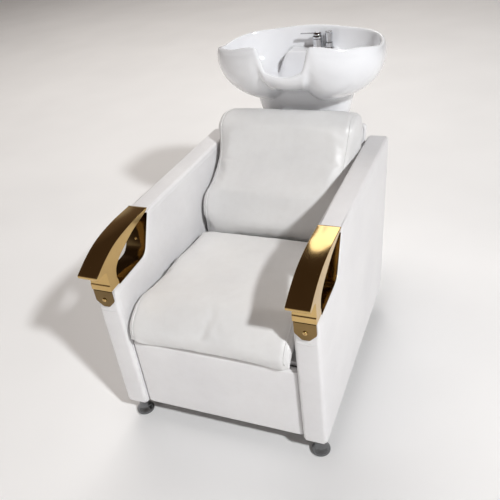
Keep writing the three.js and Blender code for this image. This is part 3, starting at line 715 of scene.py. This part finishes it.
def seat_base():
    """The board below the seat cushion, covered in leather and sloping down to the rear."""
    low, high = local("seat_board")

    def place(a, b, t):
        return at(a, b, mix(*SEAT_BOARD_Z, share_between(b, *SEAT_BOARD_Y)) + t)
    upholstered("seat_base", "seat_board", rectangle(low.x + 5, 42, high.x - 5, high.y - 2, 8, 8),
                -17, -1, place, radius=4, seam=False, reach=40)


# ---- armrests
ARM_LIP = (-47, 599)
ARM_INNER, ARM_WIDTH = INNER_X + 4, 64
ARM_MIDDLE = ARM_INNER + ARM_WIDTH / 2
BRACKET_SCREW_Z = 492


def arm_profile():
    """The armrest's side outline: top plate, rolled lip, neck on the post, and the curve over the grip."""
    tip = np.array(ARM_LIP, float)
    top = catmull([(250, 648), (150, 650), (62, 641), (6, 623), (tip[0] + 4, tip[1])], 70)
    under = catmull([(34, 548), (42, 573), (68, 594), (109, 611), (158, 627), (226, 640), (244, 644)], 60)
    lip_end = tip + (3, -9)
    lip = [bend(tip + (4, 2), tip + (-2, -2), lip_end, t) for t in np.linspace(0.15, 1, 9)]
    neck = [tuple(lip_end), (-12, 592), (-4, 590), (-4, 546), (-7, 543), (-7, 524), (38, 525), (38, 540),
            tuple(under[0])]
    line = [(y, z + 2) for y, z in top] + lip + rounded(neck, 4, 6)[1:-1] + list(under)
    return np.array(line, float)


def extruded(profile, side, x0, x1, edge):
    """Points and faces of a closed (y, z) profile drawn across from x0 to x1, its edges softened."""
    before, after = np.roll(profile, 1, 0), np.roll(profile, -1, 0)
    along = after - before
    along /= np.maximum(np.linalg.norm(along, axis=1, keepdims=True), 1e-9)
    inward = np.stack([-along[:, 1], along[:, 0]], 1)
    area = np.sum(profile[:, 0] * after[:, 1] - after[:, 0] * profile[:, 1])
    inward *= 1 if area > 0 else -1
    angles = np.linspace(0, math.pi / 2, 4)
    row = [(x0 + edge * (1 - math.sin(a)), edge * (1 - math.cos(a))) for a in angles][::-1]
    row += [(x1 - edge * (1 - math.sin(a)), edge * (1 - math.cos(a))) for a in angles]
    return loft([[at(side * x, *(p + n * off)) for p, n in zip(profile, inward)] for x, off in row])


def armrest(name, side):
    points, faces = extruded(arm_profile()[::-1], side, ARM_INNER, ARM_INNER + ARM_WIDTH, 1.6)
    flatten_caps(piece_from(f"arm_{name}", points, faces, "gold_plated", CHAIR, f"armrest_{name}"))


def flatten_caps(piece):
    """Gives large many-sided faces flat shading, so that a mirror finish stays true."""
    for polygon in piece.data.polygons:
        if len(polygon.vertices) > 4:
            polygon.use_smooth = False


def dome_screw(name, centre, slot, body, *nodes, radius=7.0, height=4.5, direction=(0, -1, 0)):
    """A domed screw head with a cross recess, on the face whose outward direction is given."""
    out = Vector(direction).normalized()
    side = out.orthogonal().normalized()
    up = out.cross(side)
    recess_depth, recess_half, recess_reach = 1.6, radius * 0.11, radius * 0.5
    rings = 12

    def point(r, a):
        x, y = r * math.cos(a), r * math.sin(a)
        rise = height * math.sqrt(max(0.0, 1 - (r / radius) ** 2.2))
        if min(abs(x), abs(y)) < recess_half and r < recess_reach:
            rise -= recess_depth
        return centre + (side * x + up * y + out * rise) * MM
    loops = [[point(radius * (1 - i / rings), a) for a in turns_of(48)] for i in range(rings + 1)]
    piece = piece_from(name, *loft(loops), slot, None)
    weld(piece)
    return settle(piece, slot, body, *nodes)


def liner(name, side):
    """A mirror plate that lines the notch below the armrest, bent round its corner."""
    low, high = local(f"armrest_rear_liner_{name}")
    corner_y, corner_z = NOTCH_CORNER
    top = high.z - 0.5
    profile = []
    for off, order in ((0.6, 1), (3.4, -1)):
        line = [(39, PANEL["post_top"] + 1 + off), (corner_y - off, corner_z + off),
                (corner_y + (top - corner_z) * NOTCH_LEAN - off, top)]
        profile += rounded(line, 24, 14)[::order]
    across = sorted((abs(low.x), abs(high.x)))
    points, faces = extruded(np.array(profile, float), side, *across, 0.4)
    # painted shade: the liner plate takes the far darker copy of the gold plating
    flatten_caps(piece_from(f"liner_plate_{name}", points, faces, "gold_plate", CHAIR,
                            f"armrest_rear_liner_{name}", f"armrest_lower_liner_{name}"))


def liner_screws(name, side):
    """Two small screws hold the plate behind each armrest."""
    for order, z in enumerate((566, 618)):
        y = NOTCH_CORNER[0] + (z - NOTCH_CORNER[1]) * NOTCH_LEAN - 3.7
        dome_screw(f"liner_screw_{name}_{order + 1}", at(side * ARM_MIDDLE, y, z), "gold_plated", CHAIR,
                   radius=4.5, height=2.4, direction=(0, -1, NOTCH_LEAN))


# ---- basin
RIM = {"y": 983, "half": 291, "front": 193, "rear": 206, "front_power": 2.35, "rear_power": 2.7}
RIM_Z = {"neck": 859, "neck_side": 877, "tip": 957, "lobe": 938, "side": 911, "corner": 919, "rear": 929}
BOWL = {"wall": 13, "under": 723, "front_under": 772, "floor": 742, "floor_power": 2.7, "wall_power": 2.5,
        "neck_power": 2.0, "bottom": 56, "bulge": 9}
DRAIN_Y, DRAIN_R = 1035, 24
DECK = {"z": 850, "front": 1106, "half": 112}
DECK_TOP = DECK["z"] + 0.4
TAP, SHOWER = (21, 1142), (64, 1142)
FOOT = {"y": 1025, "top_half": 186, "low_half": 164, "top_deep": 114, "low_deep": 103, "low": 655,
        "wall": 12, "into_bowl": 8, "power": 2.4}


def degrees_from_front(turn):
    return math.degrees(math.acos(max(-1.0, min(1.0, math.cos(turn)))))


def rim_radius(turn):
    front = math.cos(turn) > 0
    s = abs(math.sin(turn)) / RIM["half"]
    c = abs(math.cos(turn)) / (RIM["front"] if front else RIM["rear"])
    power = RIM["front_power"] if front else RIM["rear_power"]
    return (s ** power + c ** power) ** (-1 / power)


def rim_height(turn):
    t = degrees_from_front(turn)
    neck = mix(RIM_Z["neck"], RIM_Z["neck_side"], min(t / 19.5, 1) ** 2)
    height = mix(neck, RIM_Z["tip"], smooth_step(t, 18.5, 27))
    for name, low, high in (("lobe", 30, 60), ("side", 60, 95), ("corner", 95, 130), ("rear", 130, 180)):
        height = mix(height, RIM_Z[name], smooth_step(t, low, high))
    return height


def under_height(turn, share):
    """The bottom curves up to the neck at the front, outside the foot ring."""
    edge = mix(BOWL["front_under"], BOWL["under"], smooth_step(degrees_from_front(turn), 14, 48))
    return mix(BOWL["under"], edge, smooth_step(share, 0.25, 0.42))


def section_centre(share):
    return mix(DRAIN_Y, RIM["y"], share)


def outside_at(turn, share):
    """Radius and height of the outside face, a share of the way from its bottom to the rim."""
    lobe = smooth_step(degrees_from_front(turn), 14, 34)
    power = mix(BOWL["neck_power"], BOWL["wall_power"], lobe)
    down = math.sin(math.acos(min(share, 1.0) ** (power / 2))) ** (2 / power)
    bulge = BOWL["bulge"] * lobe * math.sin(math.pi * down ** 0.7)
    radius = mix(BOWL["bottom"], rim_radius(turn), share) + bulge * share
    return radius, mix(rim_height(turn) - 5, under_height(turn, share), down)


def underside_above(x, y):
    """Height of the outside face above a point of the floor plan."""
    low, high = 0.0, 1.0
    for _ in range(20):
        share = (low + high) / 2
        forward = section_centre(share) - y
        radius, height = outside_at(math.atan2(x, forward), share)
        low, high = (share, high) if radius < math.hypot(x, forward) else (low, share)
    return height


def deck_height(x, y):
    across = 1 - smooth_step(abs(x), DECK["half"] - 28, DECK["half"] + 48)
    along = smooth_step(y, DECK["front"] - 52, DECK["front"] + 8)
    return mix(BOWL["floor"] - 20, DECK["z"], across * along)


def bowl_section(turn, inside, outside):
    """One radial section, from the drain up the inside, over the rim and down the outside."""
    radius, top = rim_radius(turn), rim_height(turn)
    rise = under_height(turn, 1) - BOWL["under"]

    def place(r, z, share):
        return [r * math.sin(turn), section_centre(share) - r * math.cos(turn), z]
    points = []
    for i in range(inside + 1):
        lift = i / inside * math.pi / 2
        out = math.sin(lift) ** (2 / BOWL["floor_power"])
        up = 1 - max(0.0, math.cos(lift)) ** (2 / BOWL["floor_power"])
        floor = BOWL["floor"] + 10 * out + rise * 0.73 * smooth_step(out, 0.15, 0.5)
        x, y, z = place(mix(DRAIN_R, radius - BOWL["wall"], out), mix(floor, top - 5, up), out)
        points.append([x, y, max(z, min(deck_height(x, y), top - 8))])
    points += [place(radius - BOWL["wall"] * share, top - drop, 1)
               for share, drop in ((0.9, 2.2), (0.7, 0.4), (0.5, 0), (0.3, 0.4), (0.1, 2.2))]
    for i in range(outside + 1):
        share = max(0.0, math.cos(i / outside * math.pi / 2)) ** (2 / BOWL["wall_power"])
        points.append(place(*outside_at(turn, share), share))
    points.append(place(DRAIN_R, BOWL["under"], 0))
    return points


def bowl_mesh(turns=240, inside=44, outside=44):
    sections = [bowl_section(turn, inside, outside) for turn in turns_of(turns)]
    count = len(sections[0])
    points = [at(*p) for section in sections for p in section]
    faces = [(i * count + j, ((i + 1) % turns) * count + j, ((i + 1) % turns) * count + (j + 1) % count,
              i * count + (j + 1) % count) for i in range(turns) for j in range(count)]
    return points, faces


def foot_ring_mesh(turns=160):
    """The basin's tapered oval foot, open below, thick enough to fuse with the bowl."""
    def point(turn, half, deep, height):
        s, c = math.sin(turn), math.cos(turn)
        r = ((abs(s) / half) ** FOOT["power"] + (abs(c) / deep) ** FOOT["power"]) ** (-1 / FOOT["power"])
        x, y = r * s, FOOT["y"] - r * c
        return at(x, y, height if height else underside_above(x, y) + FOOT["into_bowl"])
    wall, low = FOOT["wall"], FOOT["low"]
    top, bottom = (FOOT["top_half"], FOOT["top_deep"]), (FOOT["low_half"], FOOT["low_deep"])
    profile = [(*top, wall, None), (*bottom, wall, low + 2), (*bottom, wall - 3, low), (*bottom, 3, low),
               (*bottom, 0, low + 3), (*top, 0, None)]
    return loft([[point(turn, half - off, deep - off, height) for turn in turns_of(turns)]
                 for half, deep, off, height in profile], wrapped=True)


def basin():
    """Bowl and foot fused into one glazed casting, with soft fillets where they meet."""
    bowl_points, bowl_faces = bowl_mesh()
    ring_points, ring_faces = foot_ring_mesh()
    shift = len(bowl_points)
    faces = bowl_faces + [tuple(i + shift for i in face) for face in ring_faces]
    piece = piece_from("basin_casting", bowl_points + ring_points, faces, "white_ceramic", None)
    modified(piece, "REMESH", mode="VOXEL", voxel_size=0.003)
    modified(piece, "SMOOTH", factor=0.5, iterations=14)
    for centre, radius in ((TAP, 11.5), (SHOWER, 10.5), ((0, DRAIN_Y), 23)):
        bore(piece, *centre, radius)
    settle(piece, "white_ceramic", BASIN, "basin")


def bore(piece, x, y, radius):
    """Opens a round vertical hole through the casting."""
    below, above = FOOT["low"] - 15, DECK["z"] + 50
    cutter = piece_from("cutter", *tube_mesh([at(x, y, below), at(x, y, above)], (radius + 0.6) * MM, 40),
                        "white_ceramic", None)
    modified(piece, "BOOLEAN", object=cutter, operation="DIFFERENCE", solver="EXACT")
    bpy.data.objects.remove(cutter)


# ---- column cover, feet, plumbing and tap
COLUMN = {"half": 120.0, "wall": 4.6, "corner": 30.0, "low": 12, "high": 600, "rear_low": 1124,
          "rear_high": 1168}


def column_section(z, off):
    """One open section of the column cover, from its front left edge round the rear to the front right."""
    front = rear_edge(z) - 11
    rear = mix(COLUMN["rear_low"], COLUMN["rear_high"], share_between(z, COLUMN["low"], COLUMN["high"])) - off
    x, r = COLUMN["half"] - off, COLUMN["corner"] - off
    quarter = np.linspace(0, math.pi / 2, 10)
    line = [(-x, y) for y in np.linspace(front, rear - r, 12)]
    line += [(-x + r - r * math.cos(a), rear - r + r * math.sin(a)) for a in quarter[1:]]
    line += [(v, rear) for v in np.linspace(-x + r, x - r, 8)[1:-1]]
    line += [(x - r + r * math.sin(a), rear - r + r * math.cos(a)) for a in quarter]
    line += [(x, y) for y in np.linspace(rear - r, front, 12)[1:]]
    return [at(a, b, z) for a, b in line]


def column_cover():
    """A thin moulded shell, open at the front and top, round the post and pipes."""
    levels = 40
    loops = [column_section(z, off) for off in (0, COLUMN["wall"])
             for z in np.linspace(COLUMN["low"], COLUMN["high"], levels)]
    count = len(loops[0])
    inside = levels * count
    faces = []
    for i in range(levels - 1):
        for k in range(count - 1):
            a, b = i * count + k, (i + 1) * count + k
            faces += [(a, a + 1, b + 1, b), (inside + a + 1, inside + a, inside + b, inside + b + 1)]
        for k in (0, count - 1):
            a, b = i * count + k, (i + 1) * count + k
            faces.append((a, b, inside + b, inside + a))
    for base in (0, (levels - 1) * count):
        inner = inside + base
        faces += [(base + k, base + k + 1, inner + k + 1, inner + k) for k in range(count - 1)]
    piece = piece_from("column_shell", [p for loop in loops for p in loop], faces, "white_shell", None)
    modified(piece, "BEVEL", width=1.2 * MM, segments=3, limit_method="ANGLE", angle_limit=math.radians(50))
    settle(piece, "white_shell", CHAIR, "column_cover")


def feet():
    profile = [(0, 0), (24, 0), (28, 2.5), (28.5, 9), (25, 15), (19, 24), (15, 36), (13.2, 48), (13.2, 60),
               (17, 62.5), (24.5, 64), (25, 67.7), (0, 67.7)]
    for end in ("front", "rear"):
        for name, _ in SIDES:
            node = f"foot_{end}_{name}"
            middle = (local(node)[0] + local(node)[1]) / 2
            cup = turned(f"foot_cup_{end}_{name}", profile, middle, "chrome", CHAIR, node, radius=4)
            # painted shade: the feet take the darker copy of the chrome
            cup.data.materials[0] = SHADED_FOOT_CHROME


def drain():
    floor, centre = BOWL["floor"], (0, DRAIN_Y)
    turned("drain_ring", [
        (17, 700), (23, 700), (23, floor + 2), (34, floor + 4.6), (34.6, floor + 5.8), (33, floor + 6.6),
        (20, floor + 4.5), (17, floor + 2), (17, 700)
    ], centre, "chrome", BASIN, "drain_flange", radius=0.8)
    turned("strainer_cap", [
        (0, floor - 2), (16, floor - 2), (16.5, floor + 3), (19.5, floor + 5.2), (30, floor + 7),
        (30, floor + 8.5), (16, floor + 10), (6, floor + 11), (4, floor + 15), (5.5, floor + 19),
        (0, floor + 20)
    ], centre, "chrome", "strainer", "drain_strainer", radius=1.5)
    turned("waste_tail_pipe", [
        (16, 548), (19, 548), (19, 684), (22, 685), (28, 690), (28, 699.6), (16, 699.6), (16, 548)
    ], centre, "chrome", BASIN, "waste_tail", radius=1.0)


def waste():
    """Below the basin's tail pipe: an open hopper, a bottle trap, and a pipe down to the floor."""
    centre = (0, DRAIN_Y)
    turned("hopper_funnel", [
        (20, 484), (23, 484), (23, 490), (48, 546), (48, 556), (50, 557), (50, 560), (45, 560), (45, 547),
        (20, 487), (20, 484)
    ], centre, "white_plumbing", CHAIR, "waste_hopper")
    turned("trap_bottle", [
        (0, 352), (26, 352), (35, 359), (36, 366), (36, 380), (34.5, 382), (34.5, 384), (36, 386),
        (36, 440), (28, 458), (28, 462), (31, 463), (31, 481), (28, 483.6), (20, 483.6), (20, 424),
        (0, 424)
    ], centre, "white_plumbing", CHAIR, "bottle_trap", radius=2)
    route = [(37.5, 420), (50, 420), (74, 396), (78, 340), (78, 200), (78, 60), (78, 2)]
    path = [at(x, DRAIN_Y, z) for x, z in catmull(route, 60)]
    tube("waste_pipe", path, 14, "white_plumbing", CHAIR, "waste_outlet", sides=28)
    for order, (start, end) in enumerate(((50, 66), (200, 214))):
        turned(f"pipe_clip_{order + 1}", [
            (14.2, start), (17, start), (17, end), (14.2, end), (14.2, start)
        ], (78, DRAIN_Y), "black_rubber", CHAIR, radius=1.5)


def supply(name, side):
    """A stop valve and its braided hose, which runs between the column and the basin."""
    x, y, low, high = side * 43.4, 1098, 154, 226
    turned(f"stop_valve_{name}", [
        (0, low), (11, low), (11, 176), (13.5, 178), (13.5, 184), (15, 186), (15, 210), (12, 213),
        (9, 214), (9, high), (0, high)
    ], (x, y), "chrome", CHAIR, f"supply_valve_{name}", radius=1.2)
    top, rear = TAP[0] + side * 7, TAP[1]
    route = [(x, y, high + 0.4), (x, y, 270), (x + side * 2, y + 6, 360), (mix(x, top, 0.7), rear - 4, 500),
             (top, rear, 550), (top, rear, 600), (top, rear, 650), (top, rear, 700), (top, rear, 741.6)]
    hose = piece_from(f"supply_hose_{name}", *tube_mesh([at(*p) for p in catmull(route, 150)], 5.5 * MM, 16),
                      "braided_hose", None, f"hose_lower_{name}", f"hose_upper_{name}")
    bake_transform(hose)
    for end, place, start, stop, body in (("lower", (x, y), high + 1, high + 19, CHAIR),
                                          ("upper", (top, rear), 719, 741, BASIN)):
        turned(f"hose_ferrule_{name}_{end}", [
            (5.6, start), (6.4, start), (6.7, start + 3), (6.7, stop - 3), (6.4, stop), (5.6, stop),
            (5.6, start)
        ], place, "chrome", body, radius=0.6)


def mixer():
    low, high = local("mixer_body")
    turned("tap_body", [
        (0, low.z), (11.3, low.z), (11.3, DECK_TOP), (24, DECK_TOP), (24, 853), (22, 855.5), (19, 858),
        (18.4, 862), (18.4, high.z - 3), (19, high.z), (0, high.z)
    ], TAP, "chrome", BASIN, "mixer_body", radius=2)
    low, high = local("mixer_swivel")
    turned("tap_ring", [
        (0, low.z), (19, low.z), (19, high.z - 3.5), (15, high.z), (0, high.z)
    ], TAP, "chrome", "swivel", "mixer_swivel", radius=2)


def tap_lever():
    """A domed cap whose flat handle reaches over the bowl, thinning and widening to a rounded end."""
    low = local("mixer_lever")[0]
    turned("lever_cap", [
        (0, low.z), (15, low.z), (16, low.z + 3), (14, low.z + 8), (8, low.z + 11), (0, low.z + 11.5)
    ], TAP, "chrome", "lever", radius=3)

    def squared(value):
        return np.sign(value) * abs(value) ** 0.8
    loops = []
    for s in np.linspace(0, 1, 40):
        x = mix(TAP[0] - 9, low.x + 0.3, s)
        end = math.sqrt(max(1 - max(0, (s - 0.86) / 0.14) ** 2, 0.0004))
        wide = mix(5.0, 7.0, smooth_step(s, 0.1, 0.8)) * end
        thick = mix(3.2, 1.9, smooth_step(s, 0, 0.7)) * mix(1, end, 0.6)
        z = low.z + mix(6.2, 4.6, s) + 1.0 * math.sin(math.pi * s)
        loops.append([at(x, TAP[1] + wide * squared(math.cos(a)), z + thick * squared(math.sin(a)))
                      for a in turns_of(24)])
    piece_from("lever_handle", *loft(loops), "chrome", "lever", "mixer_lever")


def hand_shower():
    low = local("shower_holder")[0]
    turned("shower_socket", [
        (9.4, low.z), (10.4, low.z), (10.4, DECK_TOP), (19, DECK_TOP), (19, 853), (17, 856), (15, 858.3),
        (14, 874.3), (11.5, 874.3), (9.5, 860.3), (9.4, low.z)
    ], SHOWER, "chrome", BASIN, "shower_holder", radius=1.5)
    low = local("hand_shower")[0]
    turned("shower_handle", [
        (0, low.z), (8, low.z), (8.7, low.z + 8), (8.7, 862), (11, 876), (12.2, 882), (13.4, 905),
        (13.2, 912), (12.2, 913.5), (12.2, 915.2), (0, 915.3)
    ], SHOWER, "chrome", "shower", "hand_shower", radius=2)


# ---- room, light and camera
# Sky colour from straight down (0) over the horizon (0.5) to straight up (1).
SKY = [(0.0, (0.8, 0.78, 0.76)), (0.5, (1.0, 0.98, 0.96)), (0.6, (1.0, 0.98, 0.96)),
       (0.7, (0.24, 0.18, 0.15)), (0.84, (0.10, 0.07, 0.055)), (1.0, (0.10, 0.07, 0.055))]
SKY_STRENGTH = 0.55
# Name, place, target, width in metres, watts, colour, and whether polished metal shows the lamp.
LAMPS = [
    ("key", (4.9, -3.3, 5.3), (0.1, 0, 0.5), 0.5, 440, (0.98, 0.99, 1.0), True),
    ("fill", (-2.2, -3.4, 1.3), (0, 0, 0.6), 2.4, 18, (1.0, 0.96, 0.92), False),
    ("back", (-0.6, 3.0, 2.8), (0, 0.3, 0.8), 1.6, 14, (1.0, 1.0, 1.0), True),
    ("ceiling", (-2.2, 3.2, 5.5), (-1.2, 2.0, 0), 4.5, 185, (1.0, 0.95, 0.90), False),
]
CAMERA_PLACE = (694.5, -1095.4, 1515.5)
CAMERA_LENS, CAMERA_SENSOR = 44.38, 36
CAMERA_RIGHT, CAMERA_UP = (0.92652, 0.35885, -0.11308), (-0.11123, 0.54836, 0.82881)


def ground():
    """A wide pale floor."""
    half = 12
    mesh = bpy.data.meshes.new("floor")
    corners = [(-half, -half, 0), (half, -half, 0), (half, half, 0), (-half, half, 0)]
    mesh.from_pydata(corners, [], [(0, 1, 2, 3)])
    floor = placed("floor", mesh)
    pale = Surface("pale_floor", Roughness=0.9, Specular_IOR_Level=0.1)
    mesh.materials.append(pale.finish(pale.ramp(pale.noise(1.5, 2.0), (0.3, 0.86), (0.7, 0.9))))


def sky():
    """A world whose colour changes with the height that is looked at."""
    world = bpy.data.worlds.new("studio")
    world.use_nodes = True
    tree = world.node_tree
    parts = tree.nodes.new("ShaderNodeSeparateXYZ")
    colors = tree.nodes.new("ShaderNodeValToRGB")
    height = tree.nodes.new("ShaderNodeMapRange")
    height.inputs["From Min"].default_value = -1
    tree.links.new(tree.nodes.new("ShaderNodeTexCoord").outputs["Generated"], parts.inputs[0])
    tree.links.new(parts.outputs["Z"], height.inputs["Value"])
    tree.links.new(height.outputs["Result"], colors.inputs["Fac"])
    set_stops(colors.color_ramp, SKY)
    tree.links.new(colors.outputs["Color"], tree.nodes["Background"].inputs["Color"])
    tree.nodes["Background"].inputs["Strength"].default_value = SKY_STRENGTH
    bpy.context.scene.world = world
    bpy.context.scene.view_settings.view_transform = "Standard"


def lamp(name, place, target, size, power, color, mirrored):
    """A round soft lamp; one that isn't mirrored lights the room without showing in polished metal."""
    data = bpy.data.lights.new(name, "AREA")
    data.shape, data.size, data.energy, data.color = "DISK", size, power, color
    light = placed(name, data)
    light.visible_glossy = mirrored
    light.location = place
    light.rotation_euler = (Vector(target) - Vector(place)).to_track_quat("-Z", "Y").to_euler()


def camera():
    """The camera stands in front, above and to the right, a little rolled."""
    data = bpy.data.cameras.new("camera")
    data.lens, data.sensor_width = CAMERA_LENS, CAMERA_SENSOR
    view = placed("camera", data)
    right = Vector(CAMERA_RIGHT).normalized()
    ahead = Vector(CAMERA_UP).cross(right).normalized()
    up = right.cross(ahead)
    for row in range(3):
        for column, axis in enumerate((right, up, -ahead)):
            view.matrix_world[row][column] = axis[row]
    view.matrix_world.translation = at(*CAMERA_PLACE)
    bpy.context.scene.camera = view


camera()
ground()
sky()
for settings in LAMPS:
    lamp(*settings)
for side_name, side_sign in SIDES:
    side_panel(side_name, side_sign)
    armrest(side_name, side_sign)
    liner(side_name, side_sign)
    liner_screws(side_name, side_sign)
    dome_screw(f"bracket_dome_{side_name}", at(side_sign * ARM_MIDDLE, -6.1, BRACKET_SCREW_Z), "gold_plated",
               CHAIR, f"bracket_screw_{side_name}")
front_panel()
rear_panel()
seat_cushion()
backrest_cushion()
backrest_back()
seat_base()
column_cover()
feet()
basin()
drain()
waste()
supply("hot", -1)
supply("cold", 1)
mixer()
tap_lever()
hand_shower()
for node, part in frame["nodes"].items():
    if not part.hide_render:
        part.data.materials.clear()
        part.data.materials.append(LOOKS[SLOT_OF[node]])
